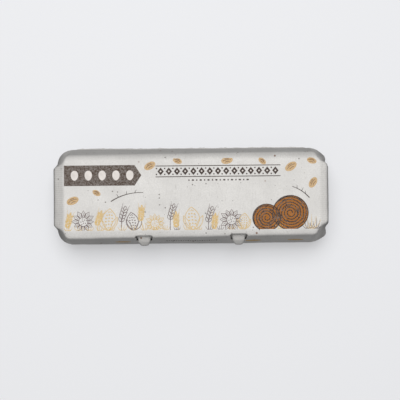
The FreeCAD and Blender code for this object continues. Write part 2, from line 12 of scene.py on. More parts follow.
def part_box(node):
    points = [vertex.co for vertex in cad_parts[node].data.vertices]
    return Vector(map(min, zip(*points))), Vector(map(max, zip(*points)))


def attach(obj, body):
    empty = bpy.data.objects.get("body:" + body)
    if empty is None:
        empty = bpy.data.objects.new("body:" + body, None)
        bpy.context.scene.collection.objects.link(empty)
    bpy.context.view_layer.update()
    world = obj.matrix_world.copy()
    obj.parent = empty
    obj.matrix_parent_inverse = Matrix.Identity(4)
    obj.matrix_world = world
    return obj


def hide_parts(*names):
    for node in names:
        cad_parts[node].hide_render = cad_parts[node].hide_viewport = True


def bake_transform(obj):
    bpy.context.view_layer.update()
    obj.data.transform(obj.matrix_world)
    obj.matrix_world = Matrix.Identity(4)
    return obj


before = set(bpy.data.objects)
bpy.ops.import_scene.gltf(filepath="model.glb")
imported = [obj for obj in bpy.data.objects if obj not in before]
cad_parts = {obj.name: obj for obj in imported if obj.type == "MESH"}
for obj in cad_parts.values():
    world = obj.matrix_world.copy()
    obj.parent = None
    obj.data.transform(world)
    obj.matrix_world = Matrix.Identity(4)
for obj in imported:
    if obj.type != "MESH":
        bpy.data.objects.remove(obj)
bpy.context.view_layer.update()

# ---------------------------------------------------------------------------------------------------------------
# The tray: one shell of grey paper pulp with its cells, posts, rim and locking flap, sucked onto a mesh mould and
# dried, so every edge is soft, the walls are a little wavy, and flecks and fibres of the waste paper show.
# ---------------------------------------------------------------------------------------------------------------
MM = 0.001
TRAY_CELL = 0.95 * MM
TRAY_TONE = 0.8

lid_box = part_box("lid")
rim_level = lid_box[0][2]
half_length, back_line, panel_level = lid_box[1]

WAVE_SEED = 7
WAVE_LENGTH = 38 * MM
WAVE_DEPTH = 0.45 * MM
LID_TWIST = 1.3 * MM
# Corners that dried a little squarer than the mould: where, how far they moved, and how wide the change is.
SQUARED_CORNERS = (
    (Vector((146.5, -44.5, 0)) * MM, Vector((4.4, -0.8, 0)) * MM, 4.6 * MM),
    (Vector((146.5, 41, 0)) * MM, Vector((2.8, 0.3, 0)) * MM, 4.4 * MM),
)
CORNER_FADE = 0.8

noise.seed_set(WAVE_SEED)


def settle(point):
    """Where a point of the dried carton really is: wavy all over, the lid twisted a little, two corners squarer."""
    wave = noise.noise_vector(point / WAVE_LENGTH)
    rise = min(max((point.z - rim_level) / (panel_level - rim_level), 0), 1)
    twist = Vector((0, LID_TWIST * rise * point.x / half_length, 0))
    moved = point + wave * WAVE_DEPTH + twist
    for corner, push, spread in SQUARED_CORNERS:
        off = (point.xy - corner.xy).length / spread
        moved += push * math.exp(-off * off / 2) * (1 - CORNER_FADE * rise)
    return moved


WELD = 0.001 * MM
FELT_SOFTNESS = 0.5
FELT_PASSES = 5
LUMP_LENGTH = 5 * MM
LUMP_DEPTH = 0.10 * MM
# The panel, down to this depth below its top, is pressed and keeps only a share of the lumps.
PRESSED_DEPTH = 0.5 * MM
PRESSED_SHARE = 0.4
FOLD_ROOM = 0.08 * MM
MOST_TRIANGLES = 190000


def put(name, data):
    """A new object in the scene, at the origin."""
    made = bpy.data.objects.new(name, data)
    bpy.context.collection.objects.link(made)
    return made


def apply_modifiers(piece):
    """Turn what the piece's modifiers show into its mesh."""
    bpy.context.view_layer.update()
    done = bpy.data.meshes.new_from_object(piece.evaluated_get(bpy.context.evaluated_depsgraph_get()))
    piece.modifiers.clear()
    piece.data = done


def felt(name, node, cell):
    """A shell felted from a node's form: an even fine skin whose edges are softened and whose faces are lumpy."""
    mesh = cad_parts[node].data.copy()
    form = bmesh.new()
    form.from_mesh(mesh)
    bmesh.ops.remove_doubles(form, verts=form.verts, dist=WELD)
    form.to_mesh(mesh)
    form.free()
    shell = put(name, mesh)
    skin = shell.modifiers.new("skin", "REMESH")
    skin.mode = "VOXEL"
    skin.voxel_size = cell
    soften = shell.modifiers.new("soften", "SMOOTH")
    soften.factor = FELT_SOFTNESS
    soften.iterations = FELT_PASSES
    apply_modifiers(shell)
    normals = [vertex.normal.copy() for vertex in shell.data.vertices]
    for vertex, normal in zip(shell.data.vertices, normals):
        pressed = PRESSED_SHARE if vertex.co.z > panel_level - PRESSED_DEPTH else 1
        lump = noise.noise(vertex.co / LUMP_LENGTH) * LUMP_DEPTH * pressed
        place = settle(vertex.co + normal * lump)
        vertex.co = (place.x, min(place.y, back_line - FOLD_ROOM), max(place.z, 0))
    triangles = 2 * len(shell.data.polygons)
    if triangles > MOST_TRIANGLES:
        thin = shell.modifiers.new("thin", "DECIMATE")
        thin.ratio = MOST_TRIANGLES / triangles
        apply_modifiers(shell)
    for polygon in shell.data.polygons:
        polygon.use_smooth = True
    shell.data.materials.clear()
    return shell


class Finish:
    """A material's node tree, with short ways to add the nodes that the pulp, the inks and the table share."""

    def __init__(self, name, roughness, gloss):
        self.material = bpy.data.materials.new(name)
        self.material.use_nodes = True
        self.tree = self.material.node_tree
        self.shader = self.tree.nodes["Principled BSDF"]
        self.shader.inputs["Roughness"].default_value = roughness
        self.shader.inputs["Specular IOR Level"].default_value = gloss
        self.place = self.tree.nodes.new("ShaderNodeTexCoord").outputs["Object"]

    def node(self, kind, inputs=(), **settings):
        """A new node; an input is given as a value, or as the output of another node that leads into it."""
        made = self.tree.nodes.new(f"ShaderNode{kind}")
        for key, value in settings.items():
            setattr(made, key, value)
        for key, value in dict(inputs).items():
            if isinstance(value, bpy.types.NodeSocket):
                self.tree.links.new(value, made.inputs[key])
            else:
                made.inputs[key].default_value = value
        return made

    def feed(self, socket, name):
        """Lead a node's output into the shader."""
        self.tree.links.new(socket, self.shader.inputs[name])

    def combed(self, scale, turn):
        """Coordinates turned about the upright axis and drawn out, for hairs that lie one way."""
        mapping = self.node("Mapping", {"Vector": self.place, "Scale": scale, "Rotation": (0, 0, turn)})
        return mapping.outputs["Vector"]

    def grain(self, size, detail=3, vector=None):
        """Noise whose features are about so large, from 0 to 1."""
        found = self.node("TexNoise", {"Vector": vector or self.place, "Scale": 1 / size, "Detail": detail})
        return found.outputs["Fac"]

    def ramp(self, value, low, high, start=0.0, end=1.0):
        """A value stretched so that low and high become start and end, and held there beyond."""
        inputs = {"Value": value, "From Min": low, "From Max": high, "To Min": start, "To Max": end}
        return self.node("MapRange", inputs).outputs["Result"]

    def maths(self, operation, first, second=0.0):
        return self.node("Math", {0: first, 1: second}, operation=operation).outputs[0]

    def product(self, first, *others):
        for other in others:
            first = self.maths("MULTIPLY", first, other)
        return first

    def blend(self, factor, first, second):
        return self.node("MixRGB", {"Fac": factor, "Color1": first, "Color2": second}).outputs["Color"]

    def toned(self, colour, factor):
        """A colour made darker or lighter by a factor."""
        return self.node("VectorMath", {0: colour, 3: factor}, operation="SCALE").outputs[0]


def shade(red, green, blue):
    """A colour given as it is seen on a screen, from 0 to 255."""
    linear = [pow((c / 255 + 0.055) / 1.055, 2.4) if c > 10 else c / 255 / 12.92 for c in (red, green, blue)]
    return (*linear, 1)


PULP_PALE = shade(213, 211, 208)
PULP_DARK = shade(191, 189, 186)
PULP_ROUGHNESS, PULP_GLOSS = 0.95, 0.15
CLOUD_SIZE, CLOUD_SHARE = 22 * MM, 0.6
GRAIN_SIZE, GRAIN_SHARE = 1.3 * MM, 0.6
HAIR_SIZE, HAIR_SHARE = 0.9 * MM, 0.28
HAIR_COLOUR = shade(160, 156, 152)
HAIR_TURNS = (0.5, 1.7, 2.8)
HAIR_STRETCH = (1, 0.12, 1)
# Flecks: how far apart their places lie, their colour, and the share of the places that holds one.
FLECK_GREY = shade(112, 106, 102)
FLECK_BROWN = shade(128, 98, 80)
FLECKS = ((7 * MM, FLECK_GREY, 0.34), (11 * MM, FLECK_BROWN, 0.22), (4 * MM, FLECK_GREY, 0.10))
FLECK_EDGE, FLECK_HEART = 0.13, 0.06


def pulp_colour(finish):
    """Grey pulp: soft clouds, fine grain, hair-like fibres and scattered dark flecks."""
    cloud = finish.ramp(finish.grain(CLOUD_SIZE), 0.3, 0.7)
    colour = finish.blend(finish.product(cloud, CLOUD_SHARE), PULP_PALE, PULP_DARK)
    grain = finish.ramp(finish.grain(GRAIN_SIZE, 4), 0.34, 0.66)
    colour = finish.blend(finish.product(grain, GRAIN_SHARE), colour, PULP_DARK)
    for turn in HAIR_TURNS:
        hair = finish.ramp(finish.grain(HAIR_SIZE, 2, finish.combed(HAIR_STRETCH, turn)), 0.66, 0.72)
        colour = finish.blend(finish.product(hair, HAIR_SHARE), colour, HAIR_COLOUR)
    for spacing, tint, share in FLECKS:
        scatter = finish.node("TexVoronoi", {"Vector": finish.place, "Scale": 1 / spacing, "Randomness": 1.0})
        spot = finish.ramp(scatter.outputs["Distance"], FLECK_EDGE, FLECK_HEART)
        lot = finish.node("SeparateColor", {"Color": scatter.outputs["Color"]}).outputs[0]
        chosen = finish.maths("LESS_THAN", lot, share)
        colour = finish.blend(finish.product(spot, chosen), colour, tint)
    return colour


FELT_COARSE, FELT_FINE = 2.2 * MM, 0.6 * MM
FELT_FINE_SHARE = 0.4
FELT_BUMP, FELT_BUMP_DEPTH = 0.35, 0.35 * MM


def pulp_relief(finish, *marks):
    """The rough felted surface as bump, with any marks that the mould left added to it."""
    height = finish.maths("ADD", finish.grain(FELT_COARSE, 4),
                          finish.product(finish.grain(FELT_FINE, 2), FELT_FINE_SHARE))
    for mark in marks:
        height = finish.maths("ADD", height, mark)
    bump = finish.node("Bump", {"Height": height, "Strength": FELT_BUMP, "Distance": FELT_BUMP_DEPTH})
    return bump.outputs["Normal"]


tray_pulp = Finish("tray_pulp", PULP_ROUGHNESS, PULP_GLOSS)
tray_pulp.feed(tray_pulp.toned(pulp_colour(tray_pulp), TRAY_TONE), "Base Color")
tray_pulp.feed(pulp_relief(tray_pulp), "Normal")

tray = felt("tray_shell", "tray", TRAY_CELL)
tray.data.materials.append(tray_pulp.material)
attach(tray, "tray")
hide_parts("tray")

# ---------------------------------------------------------------------------------------------------------------
# The lid: the other half of the same moulding, of the same pulp, with the flat panel pressed smooth for the print.
# Its bare margins are a little duller; painted shade darkens the back and left margins, the walls and the scooped
# corners. The mould's wire mesh left fine ribs along both ends.
# ---------------------------------------------------------------------------------------------------------------
LID_CELL = 0.9 * MM
# The panel's margins: axis, side, where they start, how softly, and how much darker they are: the bare pulp's own
# duller tone, with painted shade added at the back and left for rounder edges that the shell lacks.
MARGINS = (
    (0, 1, 136 * MM, 1.5 * MM, 0.13),
    (0, -1, 133.5 * MM, 1.5 * MM, 0.28),
    (1, 1, 39.5 * MM, 2.5 * MM, 0.32),
    (1, -1, 37 * MM, 1.5 * MM, 0.13),
)
# Between these depths below its top, the panel's tone turns into the painted shade of the walls and the scooped
# corners.
PANEL_EDGE_LOW, PANEL_EDGE_HIGH = 2.5 * MM, 0.6 * MM
# Painted shade: how much darker the walls and the scooped corners are drawn than the panel.
WALL_SHADE, SCOOP_SHADE = 0.97, 0.72
SCOOP_START, SCOOP_SOFT = 135 * MM, 5 * MM
RIB_START, RIB_SOFT = 133 * MM, 2 * MM
RIB_PITCH = 2.1 * MM
RIB_TONE, RIB_RELIEF = 0.06, 0.12

lid_pulp = Finish("lid_pulp", PULP_ROUGHNESS, PULP_GLOSS)
axes = lid_pulp.node("SeparateXYZ", {"Vector": lid_pulp.place}).outputs
# Darker margins: partly the bare pulp's own duller tone, partly painted shade of the rounder back and left edges.
margin_tone_and_shade = 0.0
for axis, side, border, soft, share in MARGINS:
    margin = lid_pulp.ramp(lid_pulp.product(axes[axis], side), border - soft, border + soft, 0, share)
    margin_tone_and_shade = lid_pulp.maths("MAXIMUM", margin_tone_and_shade, margin)
outward = lid_pulp.maths("ABSOLUTE", axes[0])
on_panel = lid_pulp.ramp(axes[2], panel_level - PANEL_EDGE_LOW, panel_level - PANEL_EDGE_HIGH)
# Painted shade: the walls and, past the ends, the scooped corners are drawn darker than the panel.
wall_scoop_shade = lid_pulp.ramp(outward, SCOOP_START, SCOOP_START + SCOOP_SOFT, WALL_SHADE, SCOOP_SHADE)
off_panel_shade = lid_pulp.ramp(on_panel, 0, 1, wall_scoop_shade, 1)
wire = lid_pulp.maths("SINE", lid_pulp.product(axes[1], 2 * math.pi / RIB_PITCH))
ribs = lid_pulp.product(lid_pulp.ramp(outward, RIB_START, RIB_START + RIB_SOFT), on_panel, wire)
rib_tone = lid_pulp.ramp(ribs, -1, 1, 1 - RIB_TONE, 1 + RIB_TONE)
# The lid's colour factor: the margins' own tone, painted shade of the edges, walls and scooped corners, and the rib
# marks.
lid_tone_and_shade = lid_pulp.product(lid_pulp.maths("SUBTRACT", 1, margin_tone_and_shade), off_panel_shade, rib_tone)
lid_pulp.feed(lid_pulp.toned(pulp_colour(lid_pulp), lid_tone_and_shade), "Base Color")
lid_pulp.feed(pulp_relief(lid_pulp, lid_pulp.product(ribs, RIB_RELIEF)), "Normal")

lid = felt("lid_shell", "lid", LID_CELL)
lid.data.materials.append(lid_pulp.material)
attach(lid, "lid")
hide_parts("lid")

# ---------------------------------------------------------------------------------------------------------------
# The print: thin films of ink on the panel and the front wall, in a generic farm pattern of its own: a ribbon with
# eggs, a border of lozenges, hay bales, sunflowers, maize, wheat and grass. A roller lays it on the dry pulp.
# ---------------------------------------------------------------------------------------------------------------
# Drawn shapes are in millimetres on the panel, x to the right and y to the back, and are cut off at these borders.
PRINT_LEFT, PRINT_RIGHT = -133.0, 135.5
PRINT_FRONT, PRINT_BACK = -36.5, 38.5
PRINT_BORDERS = ((0, PRINT_LEFT, 1), (0, PRINT_RIGHT, -1), (1, PRINT_FRONT, 1), (1, PRINT_BACK, -1))

draw = random.Random(20731)
inks = {}


def ellipse(x, y, wide, high, turn=0.0, sides=22):
    """An ellipse's points; wide and high are its half sizes."""
    points = []
    for number in range(sides):
        angle = 2 * math.pi * number / sides
        along, across = wide * math.cos(angle), high * math.sin(angle)
        points.append((x + along * math.cos(turn) - across * math.sin(turn),
                       y + along * math.sin(turn) + across * math.cos(turn)))
    return points


def disc(x, y, radius, sides):
    return ellipse(x, y, radius, radius, sides=sides)


def off_from(point, turn, reach):
    """The point that lies so far from another, in the direction of an angle."""
    return point[0] + reach * math.cos(turn), point[1] + reach * math.sin(turn)


def curve(start, end, bow, steps=9):
    """A gently bowed line of points."""
    run = (end[0] - start[0], end[1] - start[1])
    found = []
    for number in range(steps):
        share = number / (steps - 1)
        lift = bow * 4 * share * (1 - share)
        found.append((start[0] + run[0] * share - run[1] * lift, start[1] + run[1] * share + run[0] * lift))
    return found


def stroke(points, width, taper=1.0):
    """A line of ink as quads; its width is a share, taper, of the full width at its end."""
    sides = []
    for number, point in enumerate(points):
        before = points[max(number - 1, 0)]
        after = points[min(number + 1, len(points) - 1)]
        run = (after[0] - before[0], after[1] - before[1])
        length = math.hypot(*run) or 1
        half = width / 2 * (1 + (taper - 1) * number / (len(points) - 1))
        across = (-run[1] / length * half, run[0] / length * half)
        sides.append(((point[0] + across[0], point[1] + across[1]), (point[0] - across[0], point[1] - across[1])))
    return [[a[0], a[1], b[1], b[0]] for a, b in zip(sides, sides[1:])]


def outline(points, width):
    return stroke(points + points[:2], width)


def clip(points, axis, limit, keep):
    """The part of a convex shape on one side of a straight border; keep is 1 for above the limit, -1 for below."""
    kept = []
    for here, after in zip(points, points[1:] + points[:1]):
        side_here = keep * (here[axis] - limit)
        side_after = keep * (after[axis] - limit)
        if side_here >= 0:
            kept.append(here)
        if side_here * side_after < 0:
            share = side_here / (side_here - side_after)
            kept.append(tuple(a + (b - a) * share for a, b in zip(here, after)))
    return kept


def ink(colour, shapes, layer=1):
    """Add shapes to a colour of ink on a layer, cut off at the borders of the print."""
    films = inks.setdefault((colour, layer), [])
    for shape in shapes:
        for border in PRINT_BORDERS:
            shape = clip(shape, *border)
        if len(shape) > 2:
            films.append(shape)


# The ribbon, upper left, with its row of eggs, which are a little pointed at the top.
RIBBON_LOW, RIBBON_HIGH = 10.5, 32.0
RIBBON_END, RIBBON_TIP = -59.0, -52.0
EGGS, EGG_START, EGG_PITCH = 5, -122.0, 14.5
EGG_WIDE, EGG_HIGH, EGG_POINT = 3.9, 5.2, 0.10
ribbon_middle = (RIBBON_LOW + RIBBON_HIGH) / 2
ink("brown", [[
    (PRINT_LEFT, RIBBON_LOW), (RIBBON_END, RIBBON_LOW), (RIBBON_TIP, ribbon_middle),
    (RIBBON_END, RIBBON_HIGH), (PRINT_LEFT, RIBBON_HIGH),
]])
for number in range(EGGS):
    egg_x = EGG_START + EGG_PITCH * number
    egg = [(x, y + EGG_POINT * abs(x - egg_x)) for x, y in ellipse(egg_x, ribbon_middle, EGG_WIDE, EGG_HIGH)]
    ink("bare", [egg], 2)

# The border: a chain of lozenges and dots between two lines, with a row of dashes below it.
BORDER_START, BORDER_END = -36.0, 93.0
BORDER_MIDDLE = 25.0
BORDER_HALF, BORDER_PEN = 5.7, 0.8
LOZENGE_PITCH, LOZENGE_WIDE, LOZENGE_HIGH, LOZENGE_HOLE = 8.6, 3.3, 4.1, 0.9
DOT_OFF, DOT_RADIUS = 3.1, 0.8
DASHES, DASH_START, DASH_PITCH, DASH_LEVEL = 16, -2.0, 4.1, 15.6
DASH_WIDTHS, DASH_HIGH = (0.7, 1.3), 0.85
for number in range(round((BORDER_END - BORDER_START) / LOZENGE_PITCH)):
    x = BORDER_START + LOZENGE_PITCH * (number + 0.5)
    ink("line", [[(x - LOZENGE_WIDE, BORDER_MIDDLE), (x, BORDER_MIDDLE - LOZENGE_HIGH),
                  (x + LOZENGE_WIDE, BORDER_MIDDLE), (x, BORDER_MIDDLE + LOZENGE_HIGH)]])
    ink("bare", [disc(x, BORDER_MIDDLE, LOZENGE_HOLE, 10)], 2)
    for side in (-1, 1):
        ink("line", [disc(x - LOZENGE_PITCH / 2, BORDER_MIDDLE + side * DOT_OFF, DOT_RADIUS, 8)])
for side in (-1, 1):
    y = BORDER_MIDDLE + side * BORDER_HALF
    ink("line", stroke(curve((BORDER_START - 1, y), (BORDER_END + 1, y), 0, 30), BORDER_PEN))
for number in range(DASHES):
    dash = DASH_START + DASH_PITCH * number
    ink("line", [ellipse(dash, DASH_LEVEL, DASH_WIDTHS[number % 2], DASH_HIGH, sides=10)])

# The bales, lower right: middle and radius. Each is wound at an even pitch and is a little flatter than round.
BALES = ((79.0, -24.5, 14.5), (104.0, -19.5, 18.5))
BALE_FLATNESS, BALE_PEN = 0.97, 1.0
WINDING_PITCH, WINDING_PEN, WINDING_WOBBLE = 3.4, 1.05, 0.22
LOOSE_SHARE, LOOSE_PEN = 3.2, 1.1


def bale(x, y, radius):
    """A round bale of hay seen on its end: an ochre disc, a dark winding line and loose straws around it."""
    body = ellipse(x, y, radius, radius * BALE_FLATNESS, sides=44)
    ink("ochre", [body])
    turns = radius / WINDING_PITCH
    steps = int(turns * 20)
    winding = []
    for number in range(steps):
        share = number / (steps - 1)
        angle = 2 * math.pi * turns * share + radius
        reach = (0.10 + 0.86 * share) * radius + draw.uniform(-WINDING_WOBBLE, WINDING_WOBBLE)
        winding.append((x + reach * math.cos(angle), y + reach * math.sin(angle) * BALE_FLATNESS))
    ink("line", stroke(winding, WINDING_PEN), 2)
    ink("line", outline(body, BALE_PEN), 2)
    for _ in range(int(radius * LOOSE_SHARE)):
        angle = draw.uniform(0, 2 * math.pi)
        middle = off_from((x, y), angle, radius * math.sqrt(draw.uniform(0.1, 0.9)))
        turn = angle + math.pi / 2 + draw.uniform(-0.5, 0.5)
        half = draw.uniform(1.0, 2.4)
        ends = [off_from(middle, turn, -half), off_from(middle, turn, half)]
        ink(draw.choice(("line", "amber", "amber")), stroke(ends, LOOSE_PEN, 0.6), 3)


for place in BALES:
    bale(*place)

# The sunflowers: middle, radius and colour. A petal's points are shares of its reach, with their angles.
SUNFLOWERS = ((-113, -27.0, 11.5, "faint"), (-38, -29.5, 10.5, "straw"), (42, -26.5, 12.0, "faint"))
PETALS, PETAL_PEN = 12, 0.75
PETAL_POINTS = ((0.44, -0.17), (0.72, -0.24), (1.0, 0.0), (0.72, 0.24), (0.44, 0.17))
PETAL_RIB, PETAL_RIB_PEN = (0.52, 0.82), 0.6
HEART_SHARE, HEART_PEN = 0.42, 0.7
SEEDS, SEED_TURN, SEED_SPREAD, SEED_RADIUS = 9, 2.4, 0.11, 0.55


def sunflower(x, y, radius, colour):
    """A flower head from the front: pointed petals in outline, each with its rib, round a dotted heart."""
    ink(colour, outline(disc(x, y, radius * HEART_SHARE, 20), HEART_PEN))
    for number in range(PETALS):
        turn = 2 * math.pi * number / PETALS + radius
        reach = radius * draw.uniform(0.92, 1.06)
        petal = [off_from((x, y), turn + swing, reach * far) for far, swing in PETAL_POINTS]
        ink(colour, stroke(petal, PETAL_PEN))
        rib = [off_from((x, y), turn, reach * far) for far in PETAL_RIB]
        ink(colour, stroke(rib, PETAL_RIB_PEN, 0.5))
    for number in range(SEEDS):
        seed = off_from((x, y), SEED_TURN * number, radius * SEED_SPREAD * math.sqrt(number))
        ink(colour, [disc(*seed, SEED_RADIUS, 8)])


for flower in SUNFLOWERS:
    sunflower(*flower)

# The maize: where a cob stands, how tall it is, how far it leans, and its colour. The rest are shares of its height.
COBS = ((-87, 23, 2, "straw"), (-60, 19, -3, "faint"), (2, 24, -2, "straw"), (55, 17, 1, "straw"))
COB_PEN, COB_BOW = 0.75, 0.32
COB_ROWS, COB_COLUMNS = 7, (-0.9, 0.0, 0.9)
COB_HALF, COB_GRAIN_HIGH = 0.162, 0.035
HUSK_OUT, HUSK_UP, HUSK_PEN = 0.42, 0.62, 0.6


def cob(x, tall, lean, colour):
    """A maize cob standing between two husks: rows of grains inside an outline."""
    foot, tip = (x, PRINT_FRONT), (x + lean, PRINT_FRONT + tall)
    for bow in (-COB_BOW, COB_BOW):
        ink(colour, stroke(curve(foot, tip, bow), COB_PEN))
    for row in range(1, COB_ROWS):
        share = row / COB_ROWS
        half = tall * COB_HALF * math.sin(math.pi * share)
        for column in COB_COLUMNS:
            grain = (x + lean * share + column * half, PRINT_FRONT + tall * share - 0.5 * abs(column))
            ink(colour, [ellipse(*grain, half * 0.3, tall * COB_GRAIN_HIGH, sides=8)])
    for side in (-1, 1):
        husk = (x + side * tall * HUSK_OUT, PRINT_FRONT + tall * HUSK_UP)
        inner = (x + side * tall * 0.1, PRINT_FRONT + 1)
        ink(colour, stroke(curve(foot, husk, side * -0.22), COB_PEN))
        ink(colour, stroke(curve(husk, inner, side * -0.1), HUSK_PEN))


for ear in COBS:
    cob(*ear)

# The wheat: where an ear stands, how tall it is, how far it leans, its colour, and whether it is filled.
WHEAT = (
    (-128, 15, 1, "straw", True), (-98, 17, 3, "straw", True), (-73, 21, 3, "faint", False),
    (-50, 22, -2, "straw", True), (-22, 23, 3, "faint", False), (-13, 15, -3, "straw", True),
    (18, 20, 3, "faint", False), (26, 13, -1, "straw", True),
)
STEM_PEN, GRAIN_PEN, AWN_PEN = 0.75, 0.6, 0.42
GRAIN_PAIRS, GRAIN_PITCH = 4, 3.4


def wheat(x, tall, lean, colour, filled):
    """A wheat ear on its stem, with grains in pairs and their awns; either filled or in outline."""
    tip = (x + lean, PRINT_FRONT + tall)
    stem = curve((x, PRINT_FRONT), tip, 0.05)
    ink(colour, stroke(stem, STEM_PEN, 0.8))
    heading = math.atan2(stem[-1][1] - stem[-2][1], stem[-1][0] - stem[-2][0])
    for pair in range(GRAIN_PAIRS):
        base = off_from(tip, heading, -(GRAIN_PITCH * (GRAIN_PAIRS - 1 - pair) + 1.4))
        for side in (-1, 1):
            turn = heading + side * 0.5
            middle = off_from(base, turn + side * 0.35, 2.0)
            grain = ellipse(*middle, 2.4, 1.25, turn, 12)
            ink(colour, [grain] if filled else outline(grain, GRAIN_PEN))
            awn = off_from(middle, turn, 2.2)
            ink(colour, stroke([awn, off_from(awn, heading + side * 0.3, 5)], AWN_PEN, 0.5))
    grain = ellipse(*off_from(tip, heading, 2.2), 2.5, 1.2, heading, 12)
    ink(colour, [grain] if filled else outline(grain, GRAIN_PEN))


for ear in WHEAT:
    wheat(*ear)

# The grass: a row of small tufts all along, and four taller ones: where they stand, how tall, and their colour.
SMALL_TUFTS, TUFT_START, TUFT_PITCH, SMALL_BLADES = 17, -129, 11.4, 4
TALL_TUFTS, TALL_BLADES = ((126, 15, "straw"), (131, 11, "faint"), (93, 8, "straw"), (122, 9, "faint")), 5
BLADE_PEN = 0.8


def tuft(x, tall, colour, blades):
    """A tuft of grass in thin bowed lines."""
    for number in range(blades):
        share = number / (blades - 1) - 0.5
        end = (x + share * tall * 1.3, PRINT_FRONT + tall * (1 - abs(share) * 0.7) * draw.uniform(0.8, 1.1))
        ink(colour, stroke(curve((x + share * 3, PRINT_FRONT), end, -share * 0.25), BLADE_PEN, 0.35))


for number in range(SMALL_TUFTS):
    colour = draw.choice(("faint", "straw", "straw"))
    tuft(TUFT_START + TUFT_PITCH * number, draw.uniform(5, 8), colour, SMALL_BLADES)
for x, tall, colour in TALL_TUFTS:
    tuft(x, tall, colour, TALL_BLADES)

# Loose grains, each with three ribs, over the rest of the panel: middle, half length and turn.
LOOSE_GRAINS = (
    (-43, 31, 6.4, 0.5), (-14, 36, 5.0, -0.4), (38, 36, 6.2, 0.2), (75, 35, 4.6, -0.7), (105, 29, 6.8, 0.6),
    (127, 35, 5.2, -0.3), (128, 12, 6.2, 1.0), (-124, -5, 6.6, 0.4), (-99, 3, 4.6, -0.5),
)
LOOSE_SLIMNESS = 0.6
LOOSE_RIBS, LOOSE_RIB_PEN = (-0.45, 0.0, 0.45), 0.55
for x, y, wide, turn in LOOSE_GRAINS:
    ink("kernel", [ellipse(x, y, wide, wide * LOOSE_SLIMNESS, turn)])
    for side in LOOSE_RIBS:
        middle = off_from((x, y), turn + math.pi / 2, side * wide * LOOSE_SLIMNESS)
        half = wide * 0.7 * (1 - abs(side))
        rib = curve(off_from(middle, turn, -half), off_from(middle, turn, half), 0.1, 5)
        ink("amber", stroke(rib, LOOSE_RIB_PEN), 2)

# Two dark straws, each with three joints: start, end and bow.
STRAWS = (((-84, -6), (-50, 3), 0.08), ((124, -4), (106, 8), -0.07))
STRAW_PEN, STRAW_JOINTS, LEAF_PEN, LEAF_LENGTH = 1.0, (2, 4, 6), 0.7, 3.4
for start, end, bow in STRAWS:
    straw = curve(start, end, bow)
    ink("line", stroke(straw, STRAW_PEN, 0.5))
    for number in STRAW_JOINTS:
        joint = straw[number]
        leaf = (joint[0] + draw.uniform(-2, 2), joint[1] + LEAF_LENGTH)
        ink("line", stroke([joint, leaf], LEAF_PEN, 0.4))

# On the front wall, three pale marks and a row of fine dashes, drawn as (along the wall, height).
MARKS, MARK_LEVEL, MARK_WIDE, MARK_HIGH = (-73, 66, 111), 50.5, 8.5, 2.6
FRONT_DASHES, FRONT_DASH_START, FRONT_DASH_PITCH, FRONT_DASH_LEVEL = 22, -26, 2.5, 53.0
FRONT_DASH_WIDE, FRONT_DASH_HEIGHTS = 0.9, (1.3, 0.8, 0.8)
front_inks = {
    "kernel": [ellipse(x, MARK_LEVEL, MARK_WIDE, MARK_HIGH, sides=20) for x in MARKS],
    "line": [
        ellipse(FRONT_DASH_START + FRONT_DASH_PITCH * number, FRONT_DASH_LEVEL,
                FRONT_DASH_WIDE, FRONT_DASH_HEIGHTS[number % 3], sides=8)
        for number in range(FRONT_DASHES)
    ],
}

# Each ink's colour, and the share of it that the bare pulp breaks up.
INK_COLOURS = {
    "brown": (shade(70, 54, 43), 0.22),
    "line": (shade(54, 40, 33), 0.10),
    "ochre": (shade(152, 92, 18), 0.07),
    "amber": (shade(98, 60, 24), 0.18),
    "faint": (shade(100, 84, 82), 0.26),
    "straw": (shade(203, 170, 104), 0.36),
    "kernel": (shade(190, 156, 106), 0.24),
    "bare": (shade(214, 208, 203), 0.05),
}
INK_ROUGHNESS, INK_GLOSS = 0.85, 0.2
INK_DARKER = 0.78
INK_CLOUD, INK_CLOUD_SHARE = 5 * MM, 0.6
INK_FINE, INK_WORN = 1.1 * MM, 0.8 * MM


def ink_material(colour):
    """Ink on rough pulp: the colour breaks up where the pulp's hollows stayed bare."""
    tint, bare_share = INK_COLOURS[colour]
    finish = Finish(f"ink_{colour}", INK_ROUGHNESS, INK_GLOSS)
    cloud = finish.ramp(finish.grain(INK_CLOUD), 0.3, 0.7)
    dark = tuple(INK_DARKER * part for part in tint[:3]) + (1,)
    base = finish.blend(finish.product(cloud, INK_CLOUD_SHARE), tint, dark)
    fine = finish.ramp(finish.grain(INK_FINE, 2), 0.35, 0.65)
    base = finish.blend(finish.product(fine, bare_share), base, PULP_PALE)
    worn = finish.ramp(finish.grain(INK_WORN, 3), 0.62, 0.72)
    base = finish.blend(finish.product(worn, bare_share * 2), base, PULP_DARK)
    finish.feed(base, "Base Color")
    finish.feed(pulp_relief(finish), "Normal")
    return finish.material


# A film starts a little above the pulp, and each layer lies above the one below it.
INK_LIFT = 0.05 * MM
INK_LAYER = 0.05 * MM
INK_THICKNESS = 0.03 * MM
INK_STEP = 2.4 * MM
INK_CUTS = 6

surface = BVHTree.FromPolygons([v.co for v in lid.data.vertices], [p.vertices for p in lid.data.polygons])
ink_materials = {colour: ink_material(colour) for colour in INK_COLOURS}


def put_form(name, form):
    """A new object whose mesh is the given form."""
    mesh = bpy.data.meshes.new(name)
    form.to_mesh(mesh)
    form.free()
    return put(name, mesh)


